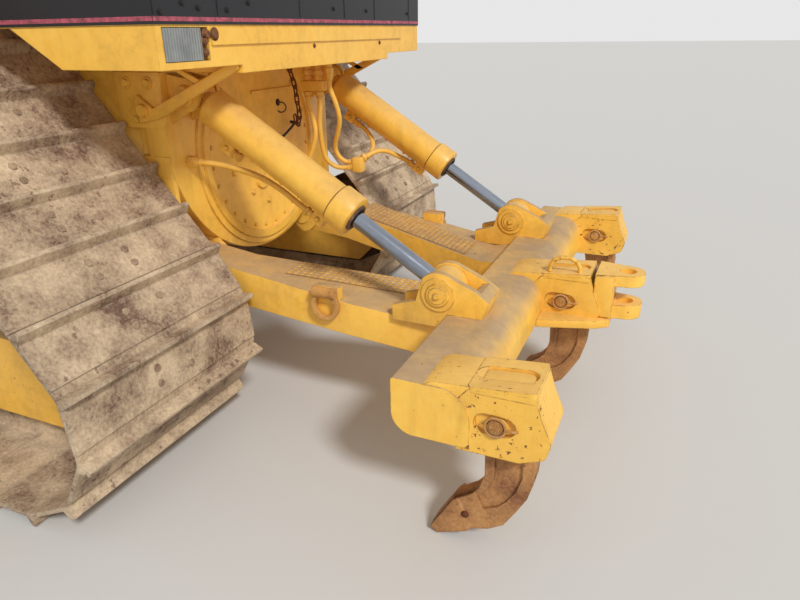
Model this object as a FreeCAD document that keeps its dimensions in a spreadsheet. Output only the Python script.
"""A crawler bulldozer of the 20 tonne class with raised drive sprockets, wide swamp shoes, a cab,
a straight blade and a three-shank ripper.  Millimetres, X forward, Y to the machine's left, Z up,
ground at Z = 0.  Places along the machine are measured from the rear idler axle, and each piece's
Placement then carries it by AxleX, so that the origin is under the middle of the whole machine.
Heights are measured from a level that lies Datum below the ground, and the Placement takes it off."""
import FreeCAD, Part
import math
import os
import re
import Sketcher
from FreeCAD import Placement, Rotation, Vector

doc = FreeCAD.newDocument("Bulldozer")
sheet = doc.addObject("Spreadsheet::Sheet", "Sizes")

# Driving sizes: name, value, meaning
SIZES = [
    ("AxleX", -1359, "rear idler axle, from the middle of the machine's length"),
    ("Datum", 43, "level of the ground on the scale that heights are measured by"),
    ("Touch", 0.3, "gap left between a curved piece and its seat"),
    ("PinFit", 0.08, "radial clearance of a pin in its bore"),
    ("SwingGap", 6, "room beside a piece that moves"),
    ("SprocketX", 879, "drive sprocket axle"),
    ("SprocketZ", 1359, "drive sprocket axle above ground"),
    ("SprocketPitch", 424, "pitch radius of the sprocket"),
    ("IdlerPitch", 332, "pitch radius of both idlers"),
    ("FrontAxleX", 3200, "front idler axle"),
    ("ShoeCount", 45, "shoes in one track"),
    ("TrackMiddle", 1097.5, "middle of a track from the machine's middle"),
    ("ShoeWidth", 915, "width of a shoe"),
    ("ShoeSlot", 6, "slot between two shoes"),
    ("ShoePitch", 203.2, "pitch of the track"),
    ("ShoeLead", 107, "first pin past the start of the rear run"),
    ("ShoeShift", 20, "shoe plates ahead of their pins"),
    ("TipDip", 1, "how far the shoe that enters the bottom run reaches below the others"),
    ("LinkDrop", 36, "pin line to the underside of a shoe plate"),
    ("ShoePlate", 16, "thickness of a shoe plate"),
    ("GrouserHeight", 36, "height of a grouser"),
    ("GrouserFoot", 34, "width of a grouser at its foot"),
    ("GrouserTip", 16, "width of a grouser at its tip"),
    ("RailRise", 53, "pin line to the running face of the links"),
    ("RailThick", 44, "thickness of a row of links"),
    ("RailSpread", 116, "distance between the two rows of links"),
    ("SprocketWidth", 70, "width of the sprocket rim"),
    ("ToothRise", 18, "tooth tip outside the pitch circle"),
    ("ToothDrop", 26, "tooth root inside the pitch circle"),
    ("SprocketTeeth", 26, "teeth of the sprocket"),
    ("DriveRadius", 330, "final drive housing beside the case"),
    ("DriveNeck", 250, "final drive housing at the sprocket"),
    ("DriveStep", 200, "length of the large part of the final drive"),
    ("DriveCap", 190, "radius of the outer cap of the final drive"),
    ("DriveCapEnd", 1340, "outer end of the final drive"),
    ("FrameHalf", 150, "track frame's side plates, outer face from the track's middle"),
    ("FramePlate", 25, "thickness of the track frame's plates"),
    ("FrameLow", 215, "lower edge of the track frame"),
    ("FrameHigh", 560, "upper edge of the track frame"),
    ("FrameNose", 150, "reach of the track frame past the idler axles"),
    ("IdlerFlange", 32, "rise of the idler's flange"),
    ("RollerRadius", 95, "radius of a track roller"),
    ("RollerFlange", 20, "rise of the roller's flange"),
    ("RollerCount", 8, "track rollers on one side"),
    ("RollerInset", 425, "first and last roller from the idler axles"),
    ("HubRadius", 52, "hubs of idlers and rollers"),
    ("PivotX", 1250, "pivot shaft of the track frames"),
    ("PivotZ", 640, "pivot shaft above ground"),
    ("PivotRadius", 60, "radius of the pivot shaft"),
    ("EqualizerX", 2760, "equalizer bar"),
    ("EqualizerHalf", 55, "half the width of the equalizer bar"),
    ("EqualizerHigh", 90, "height of the equalizer bar"),
    ("CaseRear", -50, "rear face of the case"),
    ("CaseFront", 1000, "front face of the case"),
    ("CaseHalf", 600, "half the width of the case"),
    ("CaseLow", 655, "lowest point of the case"),
    ("CaseTop", 1481, "top of the case"),
    ("CaseRound", 595, "radius of the round bottom of the case"),
    ("CoverRadius", 452, "rear cover ring"),
    ("CoverZ", 1112, "middle of the rear cover"),
    ("CoverRim", 26, "width of the rear cover's rim"),
    ("CoverProud", 14, "rim of the rear cover proud of the case"),
    ("RailInner", 290, "main frame rail, inner face"),
    ("RailOuter", 350, "main frame rail, outer face"),
    ("RailLow", 680, "main frame rail, lower edge"),
    ("RailTop", 880, "main frame rail, upper edge"),
    ("BellyPlate", 14, "thickness of the belly guard"),
    ("HingeX", 0, "ripper hinge"),
    ("HingeZ", 655, "ripper hinge above ground"),
    ("HingePin", 45, "radius of the ripper hinge pins"),
    ("HingeEye", 85, "radius of the eye at the front of a ripper arm"),
    ("HingePlate", 24, "thickness of the hinge plates"),
    ("HingePlateLow", 560, "lower edge of the hinge plates"),
    ("ArmOuter", 600, "outer face of the ripper arms"),
    ("ArmInner", 408, "inner face of the ripper arms at the front"),
    ("ArmInnerRear", 150, "inner face of the ripper arms at the beam"),
    ("ArmPlate", 22, "thickness of the arms' top plates"),
    ("BeamFront", -1221, "front face of the ripper beam"),
    ("BeamDepth", 254, "fore-and-aft depth of the ripper beam"),
    ("BeamLow", 447, "underside of the ripper beam"),
    ("BeamHigh", 648, "top of the ripper beam"),
    ("BeamHalf", 1101, "half the width of the ripper beam"),
    ("BeamRound", 105, "rounding of the beam's top rear edge"),
    ("PocketPitch", 1000, "distance from one shank pocket to the next"),
    ("PocketHalf", 98, "half the width of a shank pocket"),
    ("ShankHalf", 36.5, "half the thickness of a shank"),
    ("ShankPinX", -1553, "shank pins"),
    ("ShankPinZ", 556, "shank pins above ground"),
    ("ShankPin", 23, "radius of the shank pins"),
    ("ShankSlide", 1.0, "clearance of a shank in its pocket"),
    ("HitchBore", 32, "radius of the hitch pin's bore"),
    ("HitchX", -1800, "hitch pin's bore"),
    ("HitchHalf", 92, "half the width of the hitch jaws"),
    ("LugPinX", -1189, "pins of the ripper cylinders at the arms"),
    ("LugPinZ", 722, "pins of the ripper cylinders above ground"),
    ("HeadX", -135, "pins of the ripper cylinders at the case"),
    ("HeadZ", 1394, "pins of the ripper cylinders at the case"),
    ("RipSpread", 525, "middle of a ripper cylinder from the machine's middle"),
    ("RipTube", 75, "outer radius of a ripper cylinder"),
    ("RipBore", 60, "bore radius of a ripper cylinder"),
    ("RipGland", 84, "radius of the gland of a ripper cylinder"),
    ("RipLength", 812, "head pin to gland face of a ripper cylinder"),
    ("RipGlandLong", 92, "length of the gland of a ripper cylinder"),
    ("RipRod", 33, "radius of a ripper cylinder's rod"),
    ("RipRodLong", 850, "eye to inner end of a ripper cylinder's rod"),
    ("RipEye", 76, "radius of the rod's eye"),
    ("EyeScoop", 36, "room round the rod's eye, which leaves its pin by this much at the ends of its travel"),
    ("RipEyeHalf", 44, "half the width of the rod's eye"),
    ("RipHeadEye", 58, "radius of the head's eye"),
    ("RipPin", 30, "radius of the head pins"),
    ("LugPlate", 27, "thickness of a lug's plates"),
    ("SillRear", -443, "rear face of the rear sill"),
    ("SillHalf", 1035, "half the width of the rear sill"),
    ("SillLow", 1509, "underside of the rear sill"),
    ("SillHigh", 1639, "top of the rear sill"),
    ("TankFront", 395, "front face of the fuel tank"),
    ("TankHigh", 2230, "top of the fuel tank"),
    ("TankRound", 80, "rounding of the fuel tank"),
    ("BandHigh", 1905, "top of the dark band on the tank"),
    ("BandThick", 4, "thickness of the dark band"),
    ("BraceThick", 16, "thickness of the sill's braces"),
    ("LampHalf", 91, "half the width of the rear lamp"),
    ("LampMiddle", 914, "middle of the rear lamp"),
    ("LampDeep", 40, "depth of the rear lamp's recess"),
    ("FenderHigh", 1975, "top of the fenders"),
    ("FenderPlate", 16, "thickness of the fenders"),
    ("FenderOuter", 1330, "outer edge of the fenders"),
    ("FenderLip", 44, "depth of the fenders' lips"),
    ("CabRear", 480, "rear face of the cab"),
    ("CabFront", 1950, "front face of the cab"),
    ("CabHalf", 760, "half the width of the cab above the fenders"),
    ("TubHalf", 600, "half the width of the cab between the fenders"),
    ("CabWall", 40, "thickness of the cab's walls"),
    ("CabHigh", 3090, "top of the cab's walls"),
    ("CabFloor", 1560, "floor of the cab"),
    ("WindowSide", 90, "frame beside the front window"),
    ("GlassThick", 6, "thickness of the panes"),
    ("DoorRear", 980, "rear edge of the door openings"),
    ("DoorFront", 1720, "front edge of the door openings"),
    ("DoorLow", 1995, "lower edge of the door openings"),
    ("DoorHigh", 2985, "upper edge of the door openings"),
    ("DoorFrame", 70, "width of the door's frame"),
    ("KnuckleOut", 14, "hinge line outside the cab's wall"),
    ("KnuckleRadius", 13, "radius of the door hinges"),
    ("KnucklePin", 7, "radius of the door hinge pins"),
    ("PostRear", 500, "rear face of the rollover posts"),
    ("PostDeep", 120, "fore-and-aft depth of the rollover posts"),
    ("PostWide", 110, "width of the rollover posts"),
    ("RoofThick", 90, "thickness of the roof"),
    ("RoofRear", 410, "rear edge of the roof"),
    ("RoofFront", 2030, "front edge of the roof"),
    ("TransHalf", 340, "half the width of the transmission case and the engine"),
    ("EngineRear", 2060, "rear of the engine"),
    ("EngineFront", 3080, "front of the engine"),
    ("EngineTop", 1760, "top of the engine"),
    ("HoodHalf", 400, "half the width of the hood"),
    ("HoodLow", 1180, "lower edge of the hood"),
    ("HoodHigh", 2130, "top of the hood"),
    ("HoodWall", 14, "thickness of the hood"),
    ("HoodRound", 90, "rounding of the hood's upper edges"),
    ("GuardRear", 3290, "rear face of the radiator guard"),
    ("GuardFront", 3590, "front face of the radiator guard"),
    ("GuardHalf", 520, "half the width of the radiator guard"),
    ("GuardLow", 760, "underside of the radiator guard"),
    ("GuardFrame", 80, "width of the radiator guard's frame"),
    ("GrilleBars", 13, "bars of the grille"),
    ("GrilleBar", 26, "width of a grille bar"),
    ("StackX", 2450, "exhaust stack"),
    ("StackY", -210, "exhaust stack from the machine's middle"),
    ("StackRadius", 62, "radius of the exhaust stack"),
    ("StackHigh", 2950, "top of the exhaust stack"),
    ("CleanerX", 2700, "air cleaner inlet"),
    ("CleanerY", 190, "air cleaner inlet from the machine's middle"),
    ("YokeX", 3480, "trunnions of the blade lift cylinders"),
    ("YokeZ", 1780, "trunnions of the blade lift cylinders above ground"),
    ("LiftSpread", 612, "middle of a lift cylinder from the machine's middle"),
    ("LiftTube", 66, "outer radius of a lift cylinder"),
    ("LiftBore", 52, "bore radius of a lift cylinder"),
    ("LiftAhead", 450, "trunnion to gland face of a lift cylinder"),
    ("LiftBehind", 880, "trunnion to upper end of a lift cylinder"),
    ("LiftGland", 74, "radius of the gland of a lift cylinder"),
    ("LiftRod", 30, "radius of a lift cylinder's rod"),
    ("LiftRodLong", 1530, "eye to inner end of a lift cylinder's rod"),
    ("LiftEye", 52, "radius of the lift rod's eye"),
    ("LiftEyeHalf", 38, "half the width of the lift rod's eye"),
    ("LiftPin", 32, "radius of the lift cylinder's trunnions"),
    ("LiftX", 4170, "lift rods' eyes at the blade"),
    ("LiftZ", 480, "lift rods' eyes above ground"),
    ("YokePlate", 22, "thickness of the yokes' cheeks"),
    ("TrunnionX", 1500, "push arm trunnions"),
    ("TrunnionZ", 400, "push arm trunnions above ground"),
    ("TrunnionRadius", 58, "radius of the push arm trunnions"),
    ("PushInner", 1600, "inner face of the push arms"),
    ("PushOuter", 1750, "outer face of the push arms"),
    ("PushHigh", 105, "half the height of the push arms"),
    ("BladeHalf", 1998, "half the width of the blade"),
    ("BladeHigh", 1100, "height of the blade"),
    ("BladeRadius", 1000, "radius of the blade's curve"),
    ("BladeMiddle", 4395, "deepest point of the blade's curve"),
    ("BladeSkin", 20, "thickness of the blade's skin"),
    ("BladeBack", 4250, "back of the blade's lower beam"),
    ("EdgeThick", 28, "thickness of the cutting edge"),
    ("EdgeHigh", 190, "height of the cutting edge"),
    ("HoseRadius", 12, "radius of the ripper hoses"),
    ("ManifoldX", -135, "hose manifold under the sill"),
    ("ManifoldY", -372, "hose manifold from the machine's middle"),
    ("ManifoldZ", 1392, "middle of the hose manifold"),
]
for row, (name, number, meaning) in enumerate(SIZES, start=1):
    sheet.set(f"A{row}", name)
    sheet.set(f"B{row}", str(number))
    sheet.setAlias(f"B{row}", name)
    sheet.set(f"C{row}", meaning)
doc.recompute()
NAMES = {name for name, number, meaning in SIZES}
SIDES = (("left", 1), ("right", -1))
pieces = []

# Places that follow from the sizes, as formulas
PIN_LINE = "(Datum + TipDip + LinkDrop + ShoePlate + GrouserHeight)"
AXLE_Z = f"({PIN_LINE} + IdlerPitch)"
RAIL_FACE = f"({PIN_LINE} + RailRise)"
COVER_X = "(CaseRear - CoverProud)"
BEAM_REAR = "(BeamFront - BeamDepth)"
CURVE_X = "(BladeMiddle + BladeRadius)"
CURVE_Z = "(BladeHigh / 2)"
RIP_SLOPE = "atan((HeadZ - LugPinZ) / (HeadX - LugPinX))"
LIFT_SLOPE = "atan((YokeZ - LiftZ) / (LiftX - YokeX))"


def formula(text):
    """The text of a formula with each size named as the sheet knows it."""
    return re.sub(r"[A-Za-z]+", lambda word: f"Sizes.{word[0]}" if word[0] in NAMES else word[0], str(text))


def measure(text):
    """The number that a formula gives now."""
    return float(sheet.evalExpression(formula(text)))


def bind(part, prop, text):
    part.setExpression(prop, formula(text))


def block(name, x, y, z):
    """A box between low and high places along X, Y and Z."""
    part = doc.addObject("Part::Box", name)
    for side, axis, (low, high) in zip(("Length", "Width", "Height"), "xyz", (x, y, z)):
        bind(part, side, f"({high}) - ({low})")
        bind(part, f"Placement.Base.{axis}", low)
    return part


TURNS = {"x": Rotation(Vector(0, 1, 0), 90), "y": Rotation(Vector(1, 0, 0), -90), "z": Rotation()}


def drum(name, along, ends, middle, radius):
    """A cylinder along an axis, between its two ends, round a middle given by the other two places."""
    part = doc.addObject("Part::Cylinder", name)
    part.Placement = Placement(Vector(), TURNS[along])
    bind(part, "Radius", radius)
    bind(part, "Height", f"({ends[1]}) - ({ends[0]})")
    bind(part, f"Placement.Base.{along}", ends[0])
    for axis, place in zip([axis for axis in "xyz" if axis != along], middle):
        bind(part, f"Placement.Base.{axis}", place)
    return part


def fuse(name, parts):
    part = doc.addObject("Part::MultiFuse", name)
    part.Shapes = parts
    part.Refine = True
    return part


def cut(name, base, tools):
    part = doc.addObject("Part::Cut", name)
    part.Base = base
    part.Tool = tools[0] if len(tools) == 1 else fuse(name + "_tool", tools)
    part.Refine = True
    return part


def common(name, parts):
    part = doc.addObject("Part::MultiCommon", name)
    part.Shapes = parts
    part.Refine = True
    return part


def group(name, parts):
    """Like pieces that don't touch, kept together as one node."""
    part = doc.addObject("Part::Compound", name)
    part.Links = parts
    return part


PLANES = {"xz": ("XZ_Plane", -1), "yz": ("YZ_Plane", 1), "xy": ("XY_Plane", 1)}


def prism(name, plane, outline, ends, rounds=()):
    """A plate or bar: an outline on a plane, padded from one place to another along the third axis.
    A point of the outline is two formulas; a third word, via, makes it the middle of an arc between
    its neighbours.  A round is the number of a point and the radius of its corner."""
    role, sense = PLANES[plane]
    body = doc.addObject("PartDesign::Body", name)
    sketch = body.newObject("Sketcher::SketchObject", name + "_outline")
    origin = next(item for item in body.Origin.OriginFeatures if item.Role == role)
    sketch.AttachmentSupport = (origin, [""])
    sketch.MapMode = "FlatFace"
    bind(sketch, ".AttachmentOffset.Base.z", f"{sense} * ({ends[0]})")
    spots = [Vector(measure(point[0]), measure(point[1]), 0) for point in outline]
    corners = [number for number, point in enumerate(outline) if len(point) == 2]
    starts = []
    for place, number in enumerate(corners):
        following = corners[(place + 1) % len(corners)]
        between = (number + 1) % len(outline)
        if between == following:
            edge = Part.LineSegment(spots[number], spots[following])
            starts.append((sketch.addGeometry(edge, False), 1, 2))
        else:
            turn = (spots[between] - spots[number]).cross(spots[following] - spots[between]).z
            first, last = (number, following) if turn > 0 else (following, number)
            place_of = sketch.addGeometry(Part.Arc(spots[first], spots[between], spots[last]), False)
            starts.append((place_of, 1, 2) if turn > 0 else (place_of, 2, 1))
            spot = sketch.addGeometry(Part.Point(spots[between]), True)
            pin_point(sketch, spot, 1, outline[between], spots[between])
            sketch.addConstraint(Sketcher.Constraint("PointOnObject", spot, 1, place_of))
    for place, number in enumerate(corners):
        edge, start, end = starts[place]
        following = starts[(place + 1) % len(starts)]
        sketch.addConstraint(Sketcher.Constraint("Coincident", edge, end, following[0], following[1]))
        pin_point(sketch, edge, start, outline[number], spots[number])
    pad = body.newObject("PartDesign::Pad", name + "_pad")
    pad.Profile = sketch
    pad.Reversed = sense < 0
    bind(pad, "Length", f"({ends[1]}) - ({ends[0]})")
    for count, (corner, radius) in enumerate(rounds):
        doc.recompute()
        base = body.Tip
        edges = corner_edges(base.Shape, plane, spots[corner])
        fillet = body.newObject("PartDesign::Fillet", f"{name}_round{count}")
        fillet.Base = (base, edges)
        bind(fillet, "Radius", radius)
    return body


def pin_point(sketch, shape, end, point, spot):
    """Hold a point of a sketch at the place that its two formulas give."""
    for kind, text, now in zip(("DistanceX", "DistanceY"), point, spot):
        held = sketch.addConstraint(Sketcher.Constraint(kind, -1, 1, shape, end, now))
        bind(sketch, f"Constraints[{held}]", text)


def corner_edges(shape, plane, spot):
    """The straight edges of a padded outline that stand over one of its corners."""
    first, second = plane
    found = []
    for number, edge in enumerate(shape.Edges, start=1):
        ends = [vertex.Point for vertex in edge.Vertexes]
        if all(abs(getattr(end, first) - spot.x) + abs(getattr(end, second) - spot.y) < 0.01 for end in ends):
            found.append(f"Edge{number}")
    return found


def made(name, shape):
    """A piece whose form fits neither a profile nor a primitive."""
    part = doc.addObject("Part::Feature", name)
    part.Shape = shape
    return part


def node(part, label):
    """Name a finished piece and carry it from the rear axle's frame into the machine's."""
    part.Label = label
    bind(part, "Placement.Base.x", "AxleX")
    bind(part, "Placement.Base.z", "-Datum")
    pieces.append(part)
    return part


def beside(sign, low, high):
    """Two places across the machine, in order, for its left or right side."""
    return (low, high) if sign > 0 else (f"-({high})", f"-({low})")


def track_path():
    """The pin line of a track: rear idler, sprocket, front idler, with each run's outward normal."""
    idler = measure("IdlerPitch")
    height = measure(AXLE_Z)
    wheels = [(Vector(0, 0, height), idler),
              (Vector(measure("SprocketX"), 0, measure("SprocketZ")), measure("SprocketPitch")),
              (Vector(measure("FrontAxleX"), 0, height), idler)]
    runs = []
    for number, (middle, radius) in enumerate(wheels):
        ahead, next_radius = wheels[(number + 1) % len(wheels)]
        along = ahead - middle
        reach = along.Length
        along.normalize()
        out = Vector(-along.z, 0, along.x)
        lean = (radius - next_radius) / reach
        normal = out * math.sqrt(1 - lean * lean) + along * lean
        runs.append((middle + normal * radius, ahead + normal * next_radius, normal))
    stretches = []
    for number, (start, end, normal) in enumerate(runs):
        stretches.append(("run", start, end, (end - start).Length))
        middle, radius = wheels[(number + 1) % len(wheels)]
        first = math.atan2(normal.z, normal.x)
        turned = runs[(number + 1) % len(runs)][2]
        last = math.atan2(turned.z, turned.x)
        while last > first:
            last -= 2 * math.pi
        stretches.append(("wrap", (middle, radius, first), None, radius * (first - last)))
    return stretches


def along_path(stretches, distance):
    """The point of the pin line at a distance along it."""
    distance %= sum(stretch[3] for stretch in stretches)
    for kind, first, second, length in stretches:
        if distance <= length:
            if kind == "run":
                return first + (second - first) * (distance / length)
            middle, radius, angle = first
            angle -= distance / radius
            return middle + Vector(math.cos(angle), 0, math.sin(angle)) * radius
        distance -= length
    return along_path(stretches, 0)


def track_loop(name, low):
    """One track as a fixed loop: two rows of links joined by shoes with a grouser each."""
    stretches = track_path()
    count = int(measure("ShoeCount"))
    total = sum(stretch[3] for stretch in stretches)
    print("shoe pitch", round(total / count, 2))
    lead = measure("ShoeLead")
    shift = measure("ShoeShift")
    pins = [along_path(stretches, total * number / count + lead) for number in range(count)]
    drop = measure("LinkDrop")
    plate = drop + measure("ShoePlate")
    tip = plate + measure("GrouserHeight")
    slot = measure("ShoeSlot") / 2
    foot = measure("GrouserFoot")
    crest = measure("GrouserTip")
    width = measure("ShoeWidth")
    inner, outer, shoes = [], [], []
    for number, pin in enumerate(pins):
        ahead = pins[(number + 1) % count]
        behind = pins[number - 1]
        along = (ahead - pin).normalize()
        out = Vector(-along.z, 0, along.x)
        before = (pin - behind).normalize()
        mitre = (out + Vector(-before.z, 0, before.x)).normalize()
        stretch = 1 / mitre.dot(out)
        inner.append(pin - mitre * measure("RailRise") * stretch)
        outer.append(pin + mitre * drop * stretch)
        pitch = (ahead - pin).Length
        profile = [(slot, drop), (pitch - slot, drop), (pitch - slot, tip), (pitch - slot - crest, tip),
                   (pitch - slot - foot, plate), (slot, plate)]
        corners = [pin + along * (s + shift) + out * h + Vector(0, low, 0) for s, h in profile]
        face = Part.Face(Part.makePolygon(corners + corners[:1]))
        shoes.append(face.extrude(Vector(0, width, 0)))
    rails = []
    middle = low + width / 2
    half = measure("RailSpread") / 2
    thick = measure("RailThick")
    for start in (middle - half - thick, middle + half):
        aside = Vector(0, start, 0)
        rims = [Part.Face(Part.makePolygon([point + aside for point in rim + rim[:1]])) for rim in (outer, inner)]
        rails.append(rims[0].cut(rims[1]).extrude(Vector(0, thick, 0)))
    loop = rails[0].multiFuse(rails[1:] + shoes).removeSplitter()
    return made(name, loop)


def sprocket(name, low):
    """The sprocket: a toothed rim on a disc, both between the two rows of links."""
    teeth = int(measure("SprocketTeeth"))
    tip = measure("SprocketPitch + ToothRise")
    root = measure("SprocketPitch - ToothDrop")
    step = 2 * math.pi / teeth
    corners = []
    for number in range(teeth):
        for share, radius in ((-0.3, root), (-0.12, tip), (0.12, tip), (0.3, root)):
            angle = (number + share) * step
            corners.append(Vector(math.cos(angle) * radius, low, math.sin(angle) * radius))
    shift = Vector(measure("SprocketX"), 0, measure("SprocketZ"))
    corners = [corner + shift for corner in corners]
    rim = Part.Face(Part.makePolygon(corners + corners[:1])).extrude(Vector(0, measure("SprocketWidth"), 0))
    return made(name, rim)


# Undercarriage, both sides
for side, sign in SIDES:
    middle = f"({sign} * TrackMiddle)"
    inner_edge = measure(f"{middle} - ShoeWidth / 2")
    node(track_loop(f"track_{side}", inner_edge), f"track_{side}")

    # Track frame: two cheeks, a top plate, a pivot tower and the push arm's trunnion
    outline = [("-FrameNose", "FrameLow + 90"), ("90 - FrameNose", "FrameLow"),
               ("FrontAxleX + FrameNose - 90", "FrameLow"), ("FrontAxleX + FrameNose", "FrameLow + 90"),
               ("FrontAxleX + FrameNose", "FrameHigh - 90"), ("FrontAxleX + FrameNose - 90", "FrameHigh"),
               ("90 - FrameNose", "FrameHigh"), ("-FrameNose", "FrameHigh - 90")]
    frame = []
    for cheek, start in (("a", "-FrameHalf"), ("b", "FrameHalf - FramePlate")):
        frame.append(prism(f"cheek_{side}_{cheek}", "xz", outline,
                           (f"{middle} + {start}", f"{middle} + {start} + FramePlate")))
    frame.append(block(f"frame_top_{side}", ("IdlerPitch + 30", "FrontAxleX - IdlerPitch - 30"),
                       (f"{middle} - FrameHalf", f"{middle} + FrameHalf"), ("FrameHigh - FramePlate", "FrameHigh")))
    frame.append(block(f"frame_tower_{side}", ("PivotX - 110", "PivotX + 110"),
                       (f"{middle} - FrameHalf", f"{middle} + FrameHalf"), ("FrameHigh", "PivotZ + 90")))
    frame.append(drum(f"trunnion_{side}", "y", beside(sign, "TrackMiddle + FrameHalf", "PushOuter + 6"),
                      ("TrunnionX", "TrunnionZ"), "TrunnionRadius"))
    frame.append(drum(f"trunnion_foot_{side}", "y", beside(sign, "TrackMiddle + FrameHalf", "TrackMiddle + FrameHalf + 60"),
                      ("TrunnionX", "TrunnionZ"), "TrunnionRadius + 45"))
    frame.append(drum(f"trunnion_cap_{side}", "y", beside(sign, "PushOuter + 6", "PushOuter + 24"),
                      ("TrunnionX", "TrunnionZ"), "TrunnionRadius + 26"))
    bores = [drum(f"idler_seat_{side}_{number}", "y", (f"{middle} - FrameHalf - 1", f"{middle} + FrameHalf + 1"),
                  (place, AXLE_Z), "HubRadius + Touch") for number, place in enumerate(("0", "FrontAxleX"))]
    bores.append(drum(f"pivot_seat_{side}", "y", (f"{middle} - FrameHalf - 1", f"{middle} + FrameHalf + 1"),
                      ("PivotX", "PivotZ"), "PivotRadius + PinFit"))
    node(cut(f"track_frame_{side}", fuse(f"frame_body_{side}", frame), bores), f"track_frame_{side}")

    # Idlers and rollers, which run on the links' inner faces
    wheels = []
    for number, place in enumerate(("0", "FrontAxleX")):
        tread = drum(f"idler_tread_{side}_{number}", "y",
                     (f"{middle} - RailSpread / 2 - RailThick", f"{middle} + RailSpread / 2 + RailThick"),
                     (place, AXLE_Z), "sqrt(IdlerPitch^2 - (ShoePitch / 2)^2) - RailRise - Touch")
        flange = drum(f"idler_flange_{side}_{number}", "y", (f"{middle} - RailSpread / 2 + 8", f"{middle} + RailSpread / 2 - 8"),
                      (place, AXLE_Z), "IdlerPitch - RailRise + IdlerFlange")
        hub = drum(f"idler_hub_{side}_{number}", "y", (f"{middle} - FrameHalf", f"{middle} + FrameHalf"),
                   (place, AXLE_Z), "HubRadius")
        wheels.append(fuse(f"idler_{side}_{number}", [tread, flange, hub]))
    count = int(measure("RollerCount"))
    for number in range(count):
        place = f"RollerInset + (FrontAxleX - 2 * RollerInset) * {number} / (RollerCount - 1)"
        height = f"{RAIL_FACE} + RollerRadius + Touch"
        tread = drum(f"roller_tread_{side}_{number}", "y",
                     (f"{middle} - RailSpread / 2 - RailThick", f"{middle} + RailSpread / 2 + RailThick"),
                     (place, height), "RollerRadius")
        flange = drum(f"roller_flange_{side}_{number}", "y",
                      (f"{middle} - RailSpread / 2 + 8", f"{middle} + RailSpread / 2 - 8"),
                      (place, height), "RollerRadius + RollerFlange")
        hub = drum(f"roller_hub_{side}_{number}", "y", (f"{middle} - FrameHalf + FramePlate", f"{middle} + FrameHalf - FramePlate"),
                   (place, height), "HubRadius")
        wheels.append(fuse(f"roller_{side}_{number}", [tread, flange, hub]))
    node(group(f"rollers_{side}", wheels), f"rollers_{side}")

    # Final drive with its sprocket
    wide = drum(f"drive_wide_{side}", "y", beside(sign, "CaseHalf", "CaseHalf + DriveStep"),
                ("SprocketX", "SprocketZ"), "DriveRadius")
    neck = drum(f"drive_neck_{side}", "y", beside(sign, "CaseHalf", "TrackMiddle + SprocketWidth / 2 + 60"),
                ("SprocketX", "SprocketZ"), "DriveNeck")
    cap = drum(f"drive_cap_{side}", "y", beside(sign, "TrackMiddle", "DriveCapEnd"), ("SprocketX", "SprocketZ"), "DriveCap")
    rim = sprocket(f"sprocket_rim_{side}", measure(f"{middle} - SprocketWidth / 2"))
    node(fuse(f"final_drive_{side}", [wide, neck, cap, rim]), f"final_drive_{side}")

# Cross shafts between the track frames
shaft = drum("pivot_shaft", "y", ("FrameHalf - FramePlate - TrackMiddle", "TrackMiddle - FrameHalf + FramePlate"),
             ("PivotX", "PivotZ"), "PivotRadius")
bar = block("equalizer_bar", ("EqualizerX - EqualizerHalf", "EqualizerX + EqualizerHalf"),
            ("-TrackMiddle - FrameHalf / 2", "TrackMiddle + FrameHalf / 2"), ("FrameHigh", "FrameHigh + EqualizerHigh"))
node(group("cross_shafts", [shaft, bar]), "cross_shafts")

# Case with its round bottom, rear cover and the plates of the ripper hinge
case = prism("case_body", "yz", [("-CaseHalf", "CaseLow"), ("CaseHalf", "CaseLow"), ("CaseHalf", "CaseTop"),
                                 ("-CaseHalf", "CaseTop")], ("CaseRear", "CaseFront"), ((0, "CaseRound"), (1, "CaseRound")))
cover = [drum("cover_rim", "x", (COVER_X, "CaseRear"), ("0", "CoverZ"), "CoverRadius"),
         drum("cover_face", "x", ("CaseRear - CoverProud / 2", "CaseRear"), ("0", "CoverZ"), "CoverRadius - CoverRim")]
recess = drum("cover_recess", "x", (f"{COVER_X} - 1", "CaseRear"), ("0", "CoverZ"), "CoverRadius - CoverRim")
above = block("cover_above", ("CaseRear - 100", "CaseRear"), ("-CaseHalf", "CaseHalf"), ("CaseTop - 4", "CaseTop + 300"))
cover[0] = cut("cover_ring", cover[0], [recess, above])
cover[1] = cut("cover_plate", cover[1], [above])
hinge = []
for side, sign in SIDES:
    hinge.append(block(f"hinge_inner_{side}", ("HingeX - 90", "HingeX + 110"),
                       beside(sign, "ArmInner - SwingGap - HingePlate", "ArmInner - SwingGap"), ("HingePlateLow", "900")))
    hinge.append(block(f"hinge_outer_{side}", ("HingeX - 90", "HingeX + 110"),
                       beside(sign, "ArmOuter + SwingGap", "ArmOuter + SwingGap + HingePlate"), ("HingePlateLow", "1400")))
    hinge.append(block(f"hinge_pad_{side}", ("CaseRear", "HingeX + 110"),
                       beside(sign, "CaseHalf", "ArmOuter + SwingGap"), ("CaseTop - 200", "1400")))
    hinge.append(drum(f"hinge_pin_{side}", "y", beside(sign, "ArmInner - SwingGap - HingePlate", "ArmOuter + SwingGap + HingePlate"),
                      ("HingeX", "HingeZ"), "HingePin"))
node(fuse("rear_case", [case] + cover + hinge), "rear_case")

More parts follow.
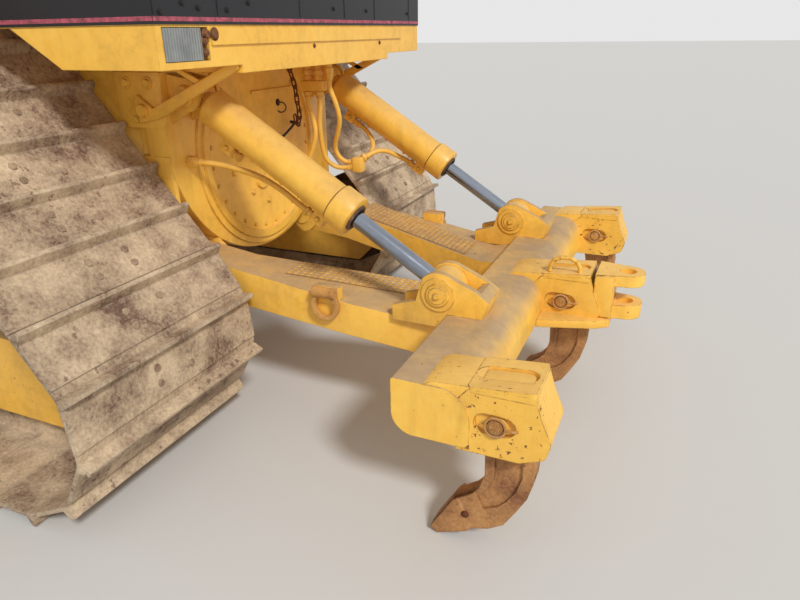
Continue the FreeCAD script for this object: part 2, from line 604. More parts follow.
# Ears that hold the heads of the ripper cylinders, with their pins
ears = []
for side, sign in SIDES:
    outline = [("CaseRear", "HeadZ - 110"), ("CaseRear", "CaseTop - 8"), ("HeadX", "HeadZ + RipHeadEye + 6"),
               ("HeadX - RipHeadEye - 6", "HeadZ", "via"), ("HeadX", "HeadZ - RipHeadEye - 6")]
    parts = []
    for number, start in enumerate(("RipSpread - RipEyeHalf - 24", "RipSpread + RipEyeHalf + 6")):
        parts.append(prism(f"ear_{side}_{number}", "xz", outline, beside(sign, start, f"{start} + 18")))
    parts.append(drum(f"head_pin_{side}", "y", beside(sign, "RipSpread - RipEyeHalf - 24", "RipSpread + RipEyeHalf + 24"),
                      ("HeadX", "HeadZ"), "RipPin"))
    ears.append(fuse(f"ears_{side}", parts))
node(group("cylinder_ears", ears), "cylinder_ears")

# Rear sill under the tank, with the lamp's recess, and its two braces
sill = prism("sill_body", "xz", [("SillRear", "SillLow"), ("-30", "SillLow"), ("180", "SillHigh"), ("SillRear", "SillHigh")],
             ("-SillHalf", "SillHalf"))
step = block("sill_step", ("SillRear", "TankFront - 30"), ("-624", "624"), ("CaseTop", "SillLow"))
foot = block("sill_foot", ("CaseRear", "TankFront - 30"), ("-CaseHalf", "CaseHalf"), ("SillLow", "SillHigh"))
panel = block("sill_panel", ("SillRear - 6", "SillRear"), ("-790", "782"), ("SillHigh - 62", "SillHigh - 6"))
recess = block("lamp_recess", ("SillRear - 1", "SillRear + LampDeep"), ("LampMiddle - LampHalf - 30", "LampMiddle + LampHalf"),
               ("SillLow + 22", "SillHigh - 6"))
node(cut("rear_sill", fuse("sill_whole", [sill, step, foot, panel]), [recess]), "rear_sill")
lamp = block("rear_lamp_body", ("SillRear - 2", "SillRear + LampDeep"), ("LampMiddle - LampHalf + 8", "LampMiddle + LampHalf - 2"),
             ("SillLow + 24", "SillHigh - 8"))
braces = []
for side, sign in SIDES:
    outline = [("-40", "1308"), ("60", "1330"), ("60", "1398"), ("-170", "SillLow"), ("SillRear + 10", "SillLow"),
               ("SillRear + 10", "SillLow - 14")]
    braces.append(prism(f"brace_{side}", "xz", outline,
                        beside(sign, "ArmOuter + SwingGap + HingePlate", "ArmOuter + SwingGap + HingePlate + BraceThick")))
node(group("sill_braces", braces), "sill_braces")

# Fuel tank with its dark band
tank = prism("tank_body", "xz", [("SillRear", "SillHigh"), ("TankFront", "SillHigh"), ("TankFront", "TankHigh"),
                                 ("SillRear", "TankHigh")], ("-SillHalf", "SillHalf"), ((2, "TankRound / 2"), (3, "TankRound")))
filler = drum("tank_filler", "z", ("TankHigh - 10", "TankHigh + 45"), ("0", "560"), "60")
node(fuse("fuel_tank", [tank, filler]), "fuel_tank")
band = block("band_outer", ("SillRear - BandThick", "TankFront"), ("-SillHalf - BandThick", "SillHalf + BandThick"),
             ("SillHigh + 2", "BandHigh"))
hole = block("band_hole", ("SillRear", "TankFront + 1"), ("-SillHalf", "SillHalf"), ("SillHigh", "BandHigh + 1"))
node(cut("tank_band", band, [hole]), "tank_band")

# Main frame: two rails, a belly guard, cross members and brackets for the pivot shaft
rails = []
for side, sign in SIDES:
    rails.append(block(f"rail_{side}", ("CaseFront", "GuardRear"), beside(sign, "RailInner", "RailOuter"), ("RailLow", "RailTop")))
    rails.append(block(f"pivot_bracket_{side}", ("PivotX - 110", "PivotX + 110"), beside(sign, "RailInner", "RailOuter"),
                       ("PivotZ - 100", "RailLow")))
rails.append(block("belly_guard", ("CaseFront", "GuardRear"), ("-RailInner", "RailInner"), ("RailLow", "RailLow + BellyPlate")))
rails.append(block("front_member", ("GuardRear - 120", "GuardRear"), ("-RailInner", "RailInner"), ("RailLow", "RailTop")))
rails.append(block("equalizer_saddle", ("EqualizerX - EqualizerHalf", "EqualizerX + EqualizerHalf"),
                   ("-90", "90"), ("FrameHigh + EqualizerHigh", "RailLow")))
shaft_bore = drum("frame_bore", "y", ("-RailOuter - 1", "RailOuter + 1"), ("PivotX", "PivotZ"), "PivotRadius + PinFit")
node(cut("main_frame", fuse("frame_whole", rails), [shaft_bore]), "main_frame")
gears = block("gearbox", ("CaseFront", "EngineRear"), ("-TransHalf", "TransHalf"), ("RailTop", "CaseTop"))
node(group("transmission_case", [gears]), "transmission_case")
motor = block("motor", ("EngineRear", "EngineFront"), ("-TransHalf", "TransHalf"), ("RailTop", "EngineTop"))
node(group("engine_block", [motor]), "engine_block")

# Cab: a tub between the fenders, side walls with door openings, end walls with windows, and a ceiling
tub = block("tub_outer", ("CabRear", "CabFront"), ("-TubHalf", "TubHalf"), ("CaseTop", "FenderHigh"))
well = block("tub_inner", ("CabRear + CabWall", "CabFront - CabWall"), ("CabWall - TubHalf", "TubHalf - CabWall"), ("CabFloor", "FenderHigh + 1"))
node(cut("cab_tub", tub, [well]), "cab_tub")
ends = [block("wall_front", ("CabFront - CabWall", "CabFront"), ("CabWall - CabHalf", "CabHalf - CabWall"), ("FenderHigh", "CabHigh - CabWall")),
        block("wall_rear", ("CabRear", "CabRear + CabWall"), ("CabWall - CabHalf", "CabHalf - CabWall"), ("FenderHigh", "CabHigh - CabWall"))]
openings = [block("window_front", ("CabFront - CabWall - 1", "CabFront + 1"), ("WindowSide - CabHalf", "CabHalf - WindowSide"), ("FenderHigh + 200", "DoorHigh")),
            block("window_rear", ("CabRear - 1", "CabRear + CabWall + 1"), ("2 * WindowSide - CabHalf", "CabHalf - 2 * WindowSide"),
                  ("TankHigh + 70", "DoorHigh"))]
node(group("cab_end_walls", [cut(f"end_wall_{number}", wall, [opening]) for number, (wall, opening) in enumerate(zip(ends, openings))]),
     "cab_end_walls")
node(group("cab_ceiling", [block("ceiling", ("CabRear", "CabFront"), ("-CabHalf", "CabHalf"), ("CabHigh - CabWall", "CabHigh"))]), "cab_ceiling")
HINGES = ("DoorLow + 140", "DoorHigh - 200")
walls, panes = [], []
for side, sign in SIDES:
    wall = block(f"side_wall_{side}", ("CabRear", "CabFront"), beside(sign, "CabHalf - CabWall", "CabHalf"), ("FenderHigh", "CabHigh - CabWall"))
    cuts = [block(f"doorway_{side}", ("DoorRear", "DoorFront"), beside(sign, "CabHalf - CabWall - 1", "CabHalf + 1"), ("DoorLow", "DoorHigh")),
            block(f"window_{side}", ("PostRear + PostDeep + 30", "DoorRear - 60"), beside(sign, "CabHalf - CabWall - 1", "CabHalf + 1"),
                  ("DoorLow + 160", "DoorHigh"))]
    knuckles = [cut(f"wall_cut_{side}", wall, cuts)]
    for number, height in enumerate(HINGES):
        knuckles.append(drum(f"cab_pin_{side}_{number}", "z", (f"{height} - 20", f"{height} + 60"),
                             ("DoorRear - SwingGap", f"{sign} * (CabHalf + KnuckleOut)"), "KnucklePin"))
        for place, low in enumerate((f"{height} - 20", f"{height} + 52")):
            knuckles.append(block(f"cab_strap_{side}_{number}_{place}", ("DoorRear - SwingGap - 30", "DoorRear - SwingGap + 8"),
                                  beside(sign, "CabHalf", "CabHalf + KnuckleOut + 8"), (low, f"{low} + 8")))
    walls.append(fuse(f"side_wall_whole_{side}", knuckles))
    panes.append(block(f"pane_{side}", ("PostRear + PostDeep + 30", "DoorRear - 60"),
                       beside(sign, "CabHalf - CabWall / 2", "CabHalf - CabWall / 2 + GlassThick"), ("DoorLow + 160", "DoorHigh")))
node(group("cab_side_walls", walls), "cab_side_walls")
panes.append(block("pane_front", ("CabFront - CabWall / 2", "CabFront - CabWall / 2 + GlassThick"), ("WindowSide - CabHalf", "CabHalf - WindowSide"),
                   ("FenderHigh + 200", "DoorHigh")))
panes.append(block("pane_rear", ("CabRear + CabWall / 2", "CabRear + CabWall / 2 + GlassThick"), ("2 * WindowSide - CabHalf", "CabHalf - 2 * WindowSide"),
                   ("TankHigh + 70", "DoorHigh")))
node(group("cab_glass", panes), "cab_glass")

# Doors, hinged at their rear edges, with their panes
for side, sign in SIDES:
    leaf = block(f"door_leaf_{side}", ("DoorRear + SwingGap", "DoorFront - SwingGap"), beside(sign, "CabHalf - CabWall", "CabHalf"),
                 ("DoorLow + SwingGap", "DoorHigh - SwingGap"))
    opening = block(f"door_opening_{side}", ("DoorRear + DoorFrame", "DoorFront - DoorFrame"),
                    beside(sign, "CabHalf - CabWall - 1", "CabHalf + 1"), ("DoorLow + 3 * DoorFrame", "DoorHigh - DoorFrame"))
    parts = [cut(f"door_frame_{side}", leaf, [opening])]
    bores = []
    for number, height in enumerate(HINGES):
        middle = ("DoorRear - SwingGap", f"{sign} * (CabHalf + KnuckleOut)")
        parts.append(drum(f"door_knuckle_{side}_{number}", "z", (f"{height} - 11.7", f"{height} + 51.7"), middle, "KnuckleRadius"))
        parts.append(block(f"door_strap_{side}_{number}", ("DoorRear - SwingGap", "DoorRear + 60"),
                           beside(sign, "CabHalf + 3", "CabHalf + 13"), (f"{height} - 11.7", f"{height} + 51.7")))
        parts.append(block(f"door_foot_{side}_{number}", ("DoorRear + SwingGap + 6", "DoorRear + 60"),
                           beside(sign, "CabHalf", "CabHalf + 3"), (f"{height} - 11.7", f"{height} + 51.7")))
        bores.append(drum(f"door_bore_{side}_{number}", "z", (f"{height} - 20", f"{height} + 60"), middle, "KnucklePin + PinFit"))
    handle = block(f"door_handle_{side}", ("DoorFront - 60", "DoorFront - 35"), beside(sign, "CabHalf", "CabHalf + 30"), ("DoorLow + 260", "DoorLow + 400"))
    node(cut(f"door_{side}", fuse(f"door_whole_{side}", parts + [handle]), bores), f"door_{side}")
    pane = block(f"door_pane_{side}", ("DoorRear + DoorFrame", "DoorFront - DoorFrame"),
                 beside(sign, "CabHalf - CabWall / 2", "CabHalf - CabWall / 2 + GlassThick"), ("DoorLow + 3 * DoorFrame", "DoorHigh - DoorFrame"))
    node(group(f"door_glass_{side}", [pane]), f"door_glass_{side}")

# Rollover frame: two posts and the roof
posts = [block(f"post_{side}", ("PostRear", "PostRear + PostDeep"), beside(sign, "CabHalf", "CabHalf + PostWide"), ("FenderHigh", "CabHigh"))
         for side, sign in SIDES]
roof = prism("roof_plate", "xz", [("RoofRear", "CabHigh"), ("RoofFront", "CabHigh"), ("RoofFront", "CabHigh + RoofThick"),
                                  ("RoofRear", "CabHigh + RoofThick")], ("-CabHalf - PostWide", "CabHalf + PostWide"), ((2, "40"), (3, "40")))
node(fuse("rollover_frame", posts + [roof]), "rollover_frame")

# Inside the cab
chair = [block("chair_foot", ("1000", "1300"), ("-200", "200"), ("CabFloor", "CabFloor + 300")),
         block("chair_cushion", ("920", "1430"), ("-260", "260"), ("CabFloor + 300", "CabFloor + 430")),
         block("chair_back", ("820", "920"), ("-250", "250"), ("CabFloor + 330", "CabFloor + 1060"))]
node(fuse("operator_chair", chair), "operator_chair")
consoles = [block("dash", ("CabFront - CabWall - 190", "CabFront - CabWall"), ("-400", "400"), ("CabFloor", "CabFloor + 620")),
            block("console_left", ("900", "1500"), ("290", "420"), ("CabFloor", "CabFloor + 640")),
            block("console_right", ("900", "1500"), ("-420", "-290"), ("CabFloor", "CabFloor + 640"))]
node(group("control_consoles", consoles), "control_consoles")

# Fenders over the tracks
fenders = []
for side, sign in SIDES:
    plate = block(f"fender_plate_{side}", ("CabRear", "2120"), beside(sign, "TubHalf", "FenderOuter"), ("FenderHigh - FenderPlate", "FenderHigh"))
    lip = block(f"fender_lip_{side}", ("CabRear", "2120"), beside(sign, "FenderOuter - FenderPlate", "FenderOuter"),
                ("FenderHigh - FenderLip", "FenderHigh"))
    fenders.append(fuse(f"fender_{side}", [plate, lip]))
node(group("fenders", fenders), "fenders")

# Hood, radiator guard with its grille, and the stacks on the hood
hood = prism("hood_outer", "yz", [("-HoodHalf", "HoodLow"), ("HoodHalf", "HoodLow"), ("HoodHalf", "HoodHigh"), ("-HoodHalf", "HoodHigh")],
             ("CabFront", "GuardRear"), ((2, "HoodRound"), (3, "HoodRound")))
inside = prism("hood_inner", "yz", [("HoodWall - HoodHalf", "HoodLow - 1"), ("HoodHalf - HoodWall", "HoodLow - 1"),
                                    ("HoodHalf - HoodWall", "HoodHigh - HoodWall"), ("HoodWall - HoodHalf", "HoodHigh - HoodWall")],
               ("CabFront - 1", "GuardRear + 1"), ((2, "HoodRound - HoodWall"), (3, "HoodRound - HoodWall")))
node(cut("engine_hood", hood, [inside]), "engine_hood")
guard = prism("guard_body", "yz", [("-GuardHalf", "GuardLow"), ("GuardHalf", "GuardLow"), ("GuardHalf", "HoodHigh"), ("-GuardHalf", "HoodHigh")],
              ("GuardRear", "GuardFront"), ((2, "60"), (3, "60")))
mouth = block("guard_mouth", ("GuardRear + 40", "GuardFront + 1"), ("GuardFrame - GuardHalf", "GuardHalf - GuardFrame"),
              ("GuardLow + GuardFrame", "HoodHigh - GuardFrame"))
node(cut("radiator_guard", guard, [mouth]), "radiator_guard")
bars = []
count = int(measure("GrilleBars"))
for number in range(count):
    low = f"GuardFrame - GuardHalf + (2 * GuardHalf - 2 * GuardFrame - GrilleBar) * {number} / (GrilleBars - 1)"
    bars.append(block(f"grille_bar_{number}", ("GuardFront - 60", "GuardFront - 25"), (low, f"{low} + GrilleBar"),
                      ("GuardLow + GuardFrame", "HoodHigh - GuardFrame")))
ties = [block(f"grille_tie_{number}", ("GuardFront - 75", "GuardFront - 60"), ("GuardFrame - GuardHalf", "GuardHalf - GuardFrame"), (f"{low}", f"{low} + 60"))
        for number, low in enumerate(("GuardLow + 250", "(GuardLow + HoodHigh) / 2 - 30", "HoodHigh - 310"))]
node(fuse("radiator_grille", bars + ties), "radiator_grille")
stacks = [fuse("exhaust_whole", [drum("exhaust_base", "z", ("HoodHigh", "HoodHigh + 420"), ("StackX", "StackY"), "StackRadius + 45"),
                                 drum("exhaust_pipe", "z", ("HoodHigh + 420", "StackHigh"), ("StackX", "StackY"), "StackRadius")]),
          fuse("cleaner_whole", [drum("cleaner_neck", "z", ("HoodHigh", "HoodHigh + 190"), ("CleanerX", "CleanerY"), "70"),
                                 drum("cleaner_bowl", "z", ("HoodHigh + 190", "HoodHigh + 400"), ("CleanerX", "CleanerY"), "130"),
                                 drum("cleaner_cap", "z", ("HoodHigh + 400", "HoodHigh + 440"), ("CleanerX", "CleanerY"), "95")])]
node(group("hood_stacks", stacks), "hood_stacks")

# Lamps: one in the sill, two on the radiator guard and two under the roof's front edge
lamps = [lamp]
for side, sign in SIDES:
    lamps.append(block(f"head_lamp_{side}", ("GuardRear + 60", "GuardRear + 180"), beside(sign, "300", "450"), ("HoodHigh", "HoodHigh + 130")))
    lamps.append(block(f"roof_lamp_{side}", ("RoofFront - 70", "RoofFront"), beside(sign, "520", "680"), ("CabHigh - 95", "CabHigh")))
node(group("work_lamps", lamps), "work_lamps")

# Yokes on the radiator guard that hold the lift cylinders' trunnions
yokes = []
for side, sign in SIDES:
    inner = drum(f"yoke_inner_{side}", "y", beside(sign, "GuardHalf", "GuardHalf + YokePlate - 10"), ("YokeX", "YokeZ"), "78")
    outer = prism(f"yoke_outer_{side}", "xz", [("YokeX - 60", "YokeZ - 40"), ("YokeX + 20", "YokeZ - 40"), ("YokeX + 125", "YokeZ + 70"),
                                               ("YokeX + 125", "YokeZ + 125"), ("YokeX + 50", "YokeZ + 125"), ("YokeX - 60", "YokeZ + 40")],
                  beside(sign, "LiftSpread + LiftTube + SwingGap", "LiftSpread + LiftTube + SwingGap + YokePlate"))
    bridge = block(f"yoke_bridge_{side}", ("YokeX + 72", "YokeX + 125"), beside(sign, "GuardHalf", "LiftSpread + LiftTube + SwingGap + YokePlate"),
                   ("YokeZ + 72", "YokeZ + 125"))
    plate = block(f"yoke_plate_{side}", ("YokeX - 60", "GuardFront"), beside(sign, "GuardHalf", "GuardHalf + YokePlate - 10"), ("YokeZ - 60", "YokeZ + 125"))
    bore = drum(f"yoke_bore_{side}", "y", beside(sign, "GuardHalf", "LiftSpread + LiftTube + SwingGap + YokePlate + 1"), ("YokeX", "YokeZ"), "LiftPin + PinFit")
    yokes.append(cut(f"yoke_{side}", fuse(f"yoke_whole_{side}", [inner, outer, bridge, plate]), [bore]))
node(group("lift_yokes", yokes), "lift_yokes")


def slanted(part, label, x, z, slope):
    """Place a piece that was drawn along X from its pin: down by a slope, at its pin's place."""
    part.Label = label
    part.Placement = Placement(Vector(), Rotation(Vector(0, 1, 0), 30))
    bind(part, "Placement.Rotation.Angle", slope)
    bind(part, "Placement.Base.x", f"AxleX + {x}")
    bind(part, "Placement.Base.z", f"{z} - Datum")
    pieces.append(part)


# Cylinders, drawn along X from the pin that each turns on
for side, sign in SIDES:
    across = f"({sign} * RipSpread)"
    # Ripper barrel: head eye, tube and gland, bored for the rod
    tube = drum(f"rip_tube_{side}", "x", ("RipHeadEye + 16", "RipLength - RipGlandLong"), (across, "0"), "RipTube")
    neck = drum(f"rip_neck_{side}", "x", ("RipPin", "RipHeadEye + 20"), (across, "0"), "RipEyeHalf - 2")
    gland = drum(f"rip_gland_{side}", "x", ("RipLength - RipGlandLong", "RipLength"), (across, "0"), "RipGland")
    eye = drum(f"rip_head_{side}", "y", (f"{across} - RipEyeHalf", f"{across} + RipEyeHalf"), ("0", "0"), "RipHeadEye")
    port = block(f"rip_port_{side}", ("RipLength - RipGlandLong - 70", "RipLength - RipGlandLong - 20"), (f"{across} - 22", f"{across} + 22"),
                 ("-RipTube - 26", "0"))
    bores = [drum(f"rip_bore_{side}", "x", ("90", "RipLength - RipGlandLong"), (across, "0"), "RipBore"),
             drum(f"rip_gland_bore_{side}", "x", ("RipLength - RipGlandLong - 1", "RipLength + 1"), (across, "0"), "RipRod + PinFit"),
             drum(f"rip_pin_bore_{side}", "y", (f"{across} - RipTube", f"{across} + RipTube"), ("0", "0"), "RipPin + PinFit")]
    barrel = cut(f"ripper_barrel_{side}", fuse(f"rip_barrel_{side}", [tube, neck, gland, eye, port]), bores)
    slanted(barrel, f"ripper_barrel_{side}", "HeadX", "HeadZ", f"180 deg - {RIP_SLOPE}")
    stem = drum(f"rip_stem_{side}", "x", ("0", "RipRodLong"), (across, "0"), "RipRod")
    end = drum(f"rip_eye_{side}", "y", (f"{across} - RipEyeHalf", f"{across} + RipEyeHalf"), ("0", "0"), "RipEye")
    rod = fuse(f"ripper_rod_{side}", [stem, end])
    slanted(rod, f"ripper_rod_{side}", "LugPinX", "LugPinZ", f"-{RIP_SLOPE}")
    # Lift barrel: closed upper end, tube, gland and trunnions, bored for the rod
    across = f"({sign} * LiftSpread)"
    tube = drum(f"lift_tube_{side}", "x", ("-LiftBehind", "LiftAhead - 80"), (across, "0"), "LiftTube")
    gland = drum(f"lift_gland_{side}", "x", ("LiftAhead - 80", "LiftAhead"), (across, "0"), "LiftGland")
    pins = drum(f"lift_pins_{side}", "y", beside(sign, "GuardHalf + 2", "LiftSpread + LiftTube + SwingGap + YokePlate"), ("0", "0"), "LiftPin")
    bores = [drum(f"lift_bore_{side}", "x", ("40 - LiftBehind", "LiftAhead - 80"), (across, "0"), "LiftBore"),
             drum(f"lift_gland_bore_{side}", "x", ("LiftAhead - 81", "LiftAhead + 1"), (across, "0"), "LiftRod + PinFit")]
    barrel = cut(f"lift_barrel_{side}", fuse(f"lift_body_{side}", [tube, gland, pins]), bores)
    slanted(barrel, f"lift_barrel_{side}", "YokeX", "YokeZ", LIFT_SLOPE)
    stem = drum(f"lift_stem_{side}", "x", ("0", "LiftRodLong"), (across, "0"), "LiftRod")
    end = drum(f"lift_eye_{side}", "y", (f"{across} - LiftEyeHalf", f"{across} + LiftEyeHalf"), ("0", "0"), "LiftEye")
    rod = fuse(f"lift_rod_{side}", [stem, end])
    slanted(rod, f"lift_rod_{side}", "LiftX", "LiftZ", f"180 deg + {LIFT_SLOPE}")

# Blade: curved skin, two beams behind it, ribs and lugs for the lift rods
curve = drum("curve_outer", "y", ("-BladeHalf", "BladeHalf"), (CURVE_X, CURVE_Z), "BladeRadius + BladeSkin")
hollow = drum("curve_inner", "y", ("-BladeHalf - 1", "BladeHalf + 1"), (CURVE_X, CURVE_Z), "BladeRadius")
limit = block("blade_limit", ("BladeMiddle - 60", "BladeMiddle + 260"), ("-BladeHalf", "BladeHalf"), ("Datum + 14", "BladeHigh"))
skin = common("blade_skin", [cut("curve_ring", curve, [hollow]), limit])
backs = [block("beam_low", ("BladeBack", "BladeMiddle + 150"), ("-BladeHalf", "BladeHalf"), ("130", "360")),
         block("beam_high", ("BladeBack + 70", "BladeMiddle + 150"), ("-BladeHalf", "BladeHalf"), ("BladeHigh - 230", "BladeHigh - 90"))]
for number, place in enumerate(("-BladeHalf", "-1240", "-760", "-LiftSpread - 90", "-15", "LiftSpread + 60", "730", "1210", "BladeHalf - 30")):
    backs.append(block(f"rib_{number}", ("BladeBack + 70", "BladeMiddle + 150"), (place, f"{place} + 30"), ("360", "BladeHigh - 230")))
drum_cut = drum("curve_back", "y", ("-BladeHalf - 1", "BladeHalf + 1"), (CURVE_X, CURVE_Z), "BladeRadius + BladeSkin")
back = cut("blade_back", fuse("blade_beams", backs), [drum_cut])
lugs = []
for side, sign in SIDES:
    for number, start in enumerate(("LiftSpread - LiftEyeHalf - 30", "LiftSpread + LiftEyeHalf + 6")):
        outline = [("BladeBack + 110", "LiftZ - 160"), ("BladeBack + 110", "LiftZ + 60"), ("LiftX", "LiftZ + 50"), ("LiftX - 50", "LiftZ", "via"),
                   ("LiftX", "LiftZ - 50"), ("BladeBack", "LiftZ - 180")]
        lugs.append(prism(f"lift_lug_{side}_{number}", "xz", outline, beside(sign, start, f"{start} + 24")))
    lugs.append(block(f"lug_wall_{side}", ("BladeBack + 80", "BladeBack + 150"),
                      beside(sign, "LiftSpread - LiftEyeHalf - 30", "LiftSpread + LiftEyeHalf + 30"), ("LiftZ - 130", "LiftZ + 60")))
node(fuse("blade", [skin, back] + lugs), "blade")
edge = prism("cutting_edge", "xz", [("BladeMiddle + 165.3", "Datum + 4"), ("BladeMiddle + 165 + EdgeThick", "Datum + 4"),
                                    ("BladeMiddle + 68 + EdgeThick", "EdgeHigh"), ("BladeMiddle + 68", "EdgeHigh")],
             ("-BladeHalf", "BladeHalf"))
node(edge, "cutting_edge")

# Push arms with their braces, outside the tracks
arms = []
for side, sign in SIDES:
    bar = prism(f"push_bar_{side}", "xz", [("TrunnionX", "TrunnionZ - PushHigh"), ("BladeBack", "245 - PushHigh"), ("BladeBack", "245 + PushHigh"),
                                           ("TrunnionX", "TrunnionZ + PushHigh"), ("TrunnionX - PushHigh", "TrunnionZ", "via")],
                beside(sign, "PushInner", "PushOuter"))
    brace = prism(f"push_brace_{side}", "xz", [("3240", "390"), ("3330", "380"), ("BladeBack + 70", "BladeHigh - 210"), ("BladeBack + 70", "BladeHigh - 120")],
                  beside(sign, "PushInner + 40", "PushOuter - 40"))
    bore = drum(f"push_bore_{side}", "y", beside(sign, "PushInner - 1", "PushOuter + 1"), ("TrunnionX", "TrunnionZ"), "TrunnionRadius + PinFit")
    arms.append(cut(f"push_arm_{side}", fuse(f"push_whole_{side}", [bar, brace]), [bore]))
node(group("push_arms", arms), "push_arms")

# Ripper frame: two arms, the beam, three pockets, and lugs for the cylinders
ripper = []
for side, sign in SIDES:
    profile = [("HingeX", "HingeZ + HingeEye"), ("BeamFront + 108", "587"), ("BeamFront + 25", "BeamHigh - 20"), ("BeamFront", "BeamHigh - 20"),
               ("BeamFront", "BeamLow + 4"), ("BeamFront + 145", "BeamLow"), ("-805", "488"), ("HingeX", "HingeZ - HingeEye"),
               ("HingeX + HingeEye", "HingeZ", "via")]
    upright = prism(f"arm_side_{side}", "xz", profile, beside(sign, "0", "ArmOuter + 50"))
    if sign > 0:
        plan = [("HingeX + 100", "ArmInner"), ("HingeX + 100", "ArmOuter"), ("-805", "ArmOuter"), ("BeamFront", "ArmOuter - 45"),
                ("BeamFront", "ArmInnerRear"), ("-260", "ArmInner")]
    else:
        plan = [("HingeX + 100", "-ArmInner"), ("-260", "-ArmInner"), ("BeamFront", "-ArmInnerRear"), ("BeamFront", "45 - ArmOuter"),
                ("-805", "-ArmOuter"), ("HingeX + 100", "-ArmOuter")]
    flat = prism(f"arm_plan_{side}", "xy", plan, ("HingePlateLow - 300", "HingePlateLow + 400"))
    bore = drum(f"arm_bore_{side}", "y", beside(sign, "ArmInner - 1", "ArmOuter + 1"), ("HingeX", "HingeZ"), "HingePin + PinFit")
    ripper.append(cut(f"arm_{side}", common(f"arm_whole_{side}", [upright, flat]), [bore]))
    for number, start in enumerate(("RipSpread - RipEyeHalf - SwingGap - LugPlate", "RipSpread + RipEyeHalf + SwingGap")):
        outline = [("LugPinX + 186", "590"), ("LugPinX + 186", "657"), ("LugPinX + 100", "LugPinZ - 30"), ("LugPinX", "LugPinZ + 110", "via"),
                   ("LugPinX - 100", "LugPinZ + 55"), ("LugPinX - 192", "LugPinZ - 6"), ("LugPinX - 168", "BeamHigh"), ("LugPinX - 60", "BeamHigh - 60")]
        ripper.append(prism(f"lug_{side}_{number}", "xz", outline, beside(sign, start, f"{start} + LugPlate")))
    ripper.append(block(f"ring_foot_{side}", ("-775", "-665"), beside(sign, "ArmOuter - 30", "ArmOuter"), ("610", "700")))
    ripper.append(block(f"lug_stop_{side}", ("LugPinX - 168", "LugPinX - 130"),
                        beside(sign, "RipSpread - RipEyeHalf - SwingGap", "RipSpread + RipEyeHalf + SwingGap"), ("BeamHigh - 5", "BeamHigh + 40")))
scoops = [drum(f"lug_scoop_{side}", "y", beside(sign, "RipSpread - RipEyeHalf - SwingGap", "RipSpread + RipEyeHalf + SwingGap"),
               ("LugPinX", "LugPinZ"), "RipEye + EyeScoop") for side, sign in SIDES]
beam = prism("beam_body", "xz", [("BeamFront", "BeamLow + 10"), (BEAM_REAR, "BeamLow + 10"), (BEAM_REAR, "BeamHigh"), ("BeamFront", "BeamHigh")],
             ("-BeamHalf", "BeamHalf"), ((2, "BeamRound"), (0, "BeamRound * 0.7"), (1, "25")))
pockets = []
POCKET = [("ShankPinX + 120", "BeamLow"), ("ShankPinX - 74", "BeamLow"), ("ShankPinX - 148", "BeamLow + 30"), ("ShankPinX - 163", "BeamLow + 85"),
          ("ShankPinX - 130", "BeamLow + 160"), ("ShankPinX - 109", "BeamHigh + 38"), ("ShankPinX + 88", "BeamHigh + 22"), ("ShankPinX + 120", "BeamHigh - 30")]
for number in range(3):
    across = f"PocketPitch * {number - 1}"
    pockets.append(prism(f"pocket_{number}", "xz", POCKET, (f"{across} - PocketHalf", f"{across} + PocketHalf")))
slots = []
SLOT = [("ShankPinX + 126", "BeamHigh + 60"), ("ShankPinX + 66", "BeamLow - 10"), ("ShankPinX - 110", "BeamLow - 10"), ("ShankPinX - 52", "BeamHigh + 60")]
for number in range(3):
    across = f"PocketPitch * {number - 1}"
    slots.append(prism(f"slot_{number}", "xz", SLOT, (f"{across} - ShankHalf - ShankSlide", f"{across} + ShankHalf + ShankSlide")))
    slots.append(drum(f"pocket_bore_{number}", "y", (f"{across} - PocketHalf - 9", f"{across} + PocketHalf + 9"), ("ShankPinX", "ShankPinZ"), "ShankPin + PinFit"))
node(cut("ripper_frame", fuse("ripper_whole", ripper + [beam] + pockets), slots + scoops), "ripper_frame")

# Shanks, raked in their pockets and curved forward to their tips, and their pins
shanks, pins = [], []
SHANK = [("ShankPinX + 110", "BeamHigh + 50"), ("ShankPinX + 44", "398"), ("ShankPinX + 42", "330"), ("ShankPinX + 82", "262", "via"),
         ("ShankPinX + 146", "195"), ("ShankPinX + 222", "Datum + 22"), ("ShankPinX + 196", "Datum + 4"), ("ShankPinX + 72", "104"), ("ShankPinX + 24", "118"),
         ("ShankPinX - 62", "212", "via"), ("ShankPinX - 112", "340"), ("ShankPinX - 115", "400"), ("ShankPinX - 50", "BeamHigh + 54")]
for number in range(3):
    across = f"PocketPitch * {number - 1}"
    shank = prism(f"shank_{number}", "xz", SHANK, (f"{across} - ShankHalf", f"{across} + ShankHalf"))
    bore = drum(f"shank_bore_{number}", "y", (f"{across} - ShankHalf - 1", f"{across} + ShankHalf + 1"), ("ShankPinX", "ShankPinZ"), "ShankPin + PinFit")
    shanks.append(cut(f"shank_bored_{number}", shank, [bore]))
    pins.append(drum(f"shank_pin_{number}", "y", (f"{across} - PocketHalf - 8", f"{across} + PocketHalf + 12"), ("ShankPinX", "ShankPinZ"), "ShankPin"))
node(group("shanks", shanks), "shanks")
node(group("shank_pins", pins), "shank_pins")

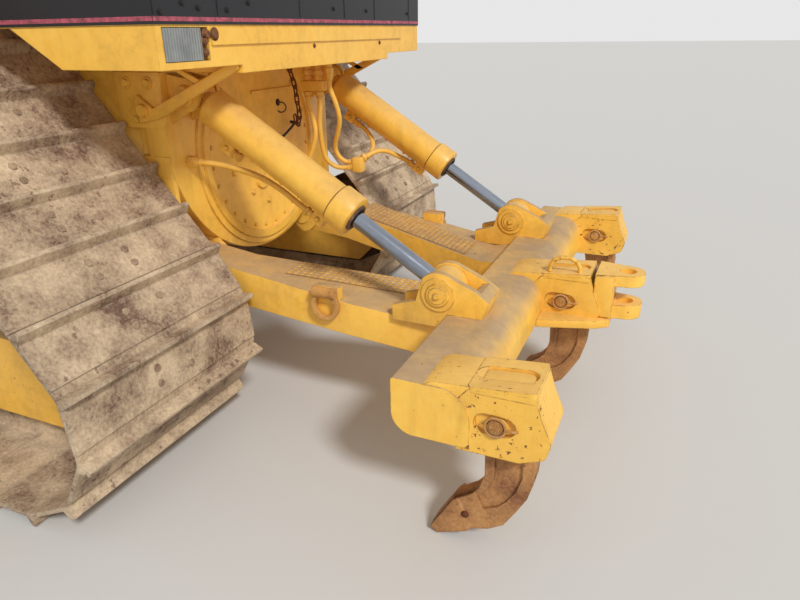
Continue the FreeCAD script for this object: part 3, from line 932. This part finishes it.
# Hitch jaws behind the middle pocket
jaw = [("HitchX - 70", "-HitchHalf + 30"), ("HitchX + 120", "-HitchHalf"), ("HitchX + 120", "HitchHalf"), ("HitchX - 70", "HitchHalf - 30")]
JAWS = [("low", "BeamLow + 55", "BeamLow + 115", jaw), ("high", "BeamLow + 195", "BeamLow + 243", jaw)]
hitch = [prism(f"jaw_{level}", "xy", outline, (low, high)) for level, low, high, outline in JAWS]
hitch.append(block("jaw_block", ("HitchX + 44", "HitchX + 120"), ("-HitchHalf", "HitchHalf"), ("BeamLow + 60", "BeamLow + 240")))
hitch.append(prism("jaw_floor", "xy", [("HitchX + 100", "-HitchHalf - 40"), (BEAM_REAR, "-HitchHalf - 110"), (BEAM_REAR, "HitchHalf + 110"),
                                       ("HitchX + 100", "HitchHalf + 40"), ("HitchX + 44", "HitchHalf"), ("HitchX + 44", "-HitchHalf")],
                   ("BeamLow + 20", "BeamLow + 55")))
hitch_cuts = [prism("pocket_seat", "xz", POCKET, ("-PocketHalf", "PocketHalf")),
              drum("hitch_bore", "z", ("BeamLow", "BeamLow + 300"), ("HitchX", "0"), "HitchBore"),
              block("beam_seat", (BEAM_REAR, "BeamFront"), ("-300", "300"), ("BeamLow", "BeamHigh"))]
node(cut("hitch_jaws", fuse("hitch_whole", hitch), hitch_cuts), "hitch_jaws")

# Tow rings on the arms' outer faces
rings = []
for side, sign in SIDES:
    eye = drum(f"ring_eye_{side}", "x", ("-770", "-670"), (f"{sign} * (ArmOuter + 22)", "668"), "22")
    ring = drum(f"ring_outer_{side}", "y", beside(sign, "ArmOuter + 13", "ArmOuter + 31"), ("-720", "612"), "62")
    hole = drum(f"ring_inner_{side}", "y", beside(sign, "ArmOuter + 12", "ArmOuter + 32"), ("-720", "612"), "43")
    rings.append(fuse(f"tow_ring_{side}", [cut(f"ring_{side}", ring, [hole]), eye]))
node(group("tow_rings", rings), "tow_rings")

# Hose manifold under the sill
node(fuse("hose_manifold", [block("manifold_block", ("ManifoldX - 45", "ManifoldX + 60"), ("ManifoldY - 60", "ManifoldY + 60"), ("ManifoldZ - 30", "ManifoldZ + 30")),
                            block("manifold_strap", ("CaseRear - 60", "CaseRear"), ("ManifoldY - 60", "ManifoldY + 8"), ("ManifoldZ", "ManifoldZ + 70"))]),
     "hose_manifold")

doc.recompute()
for item in doc.Objects:
    if {"Invalid", "Error"} & set(item.State):
        raise RuntimeError(f"{item.Name} failed: {item.State}")
os.makedirs("parts", exist_ok=True)
for part in pieces:
    shape = part.Shape
    if shape.isNull() or not shape.isValid() or not shape.Solids:
        raise RuntimeError(f"{part.Label} has no sound shape: {shape.isNull()} {len(shape.Solids)}")
    shape.exportStep(f"parts/{part.Label}.step")
print(len(pieces), "pieces")
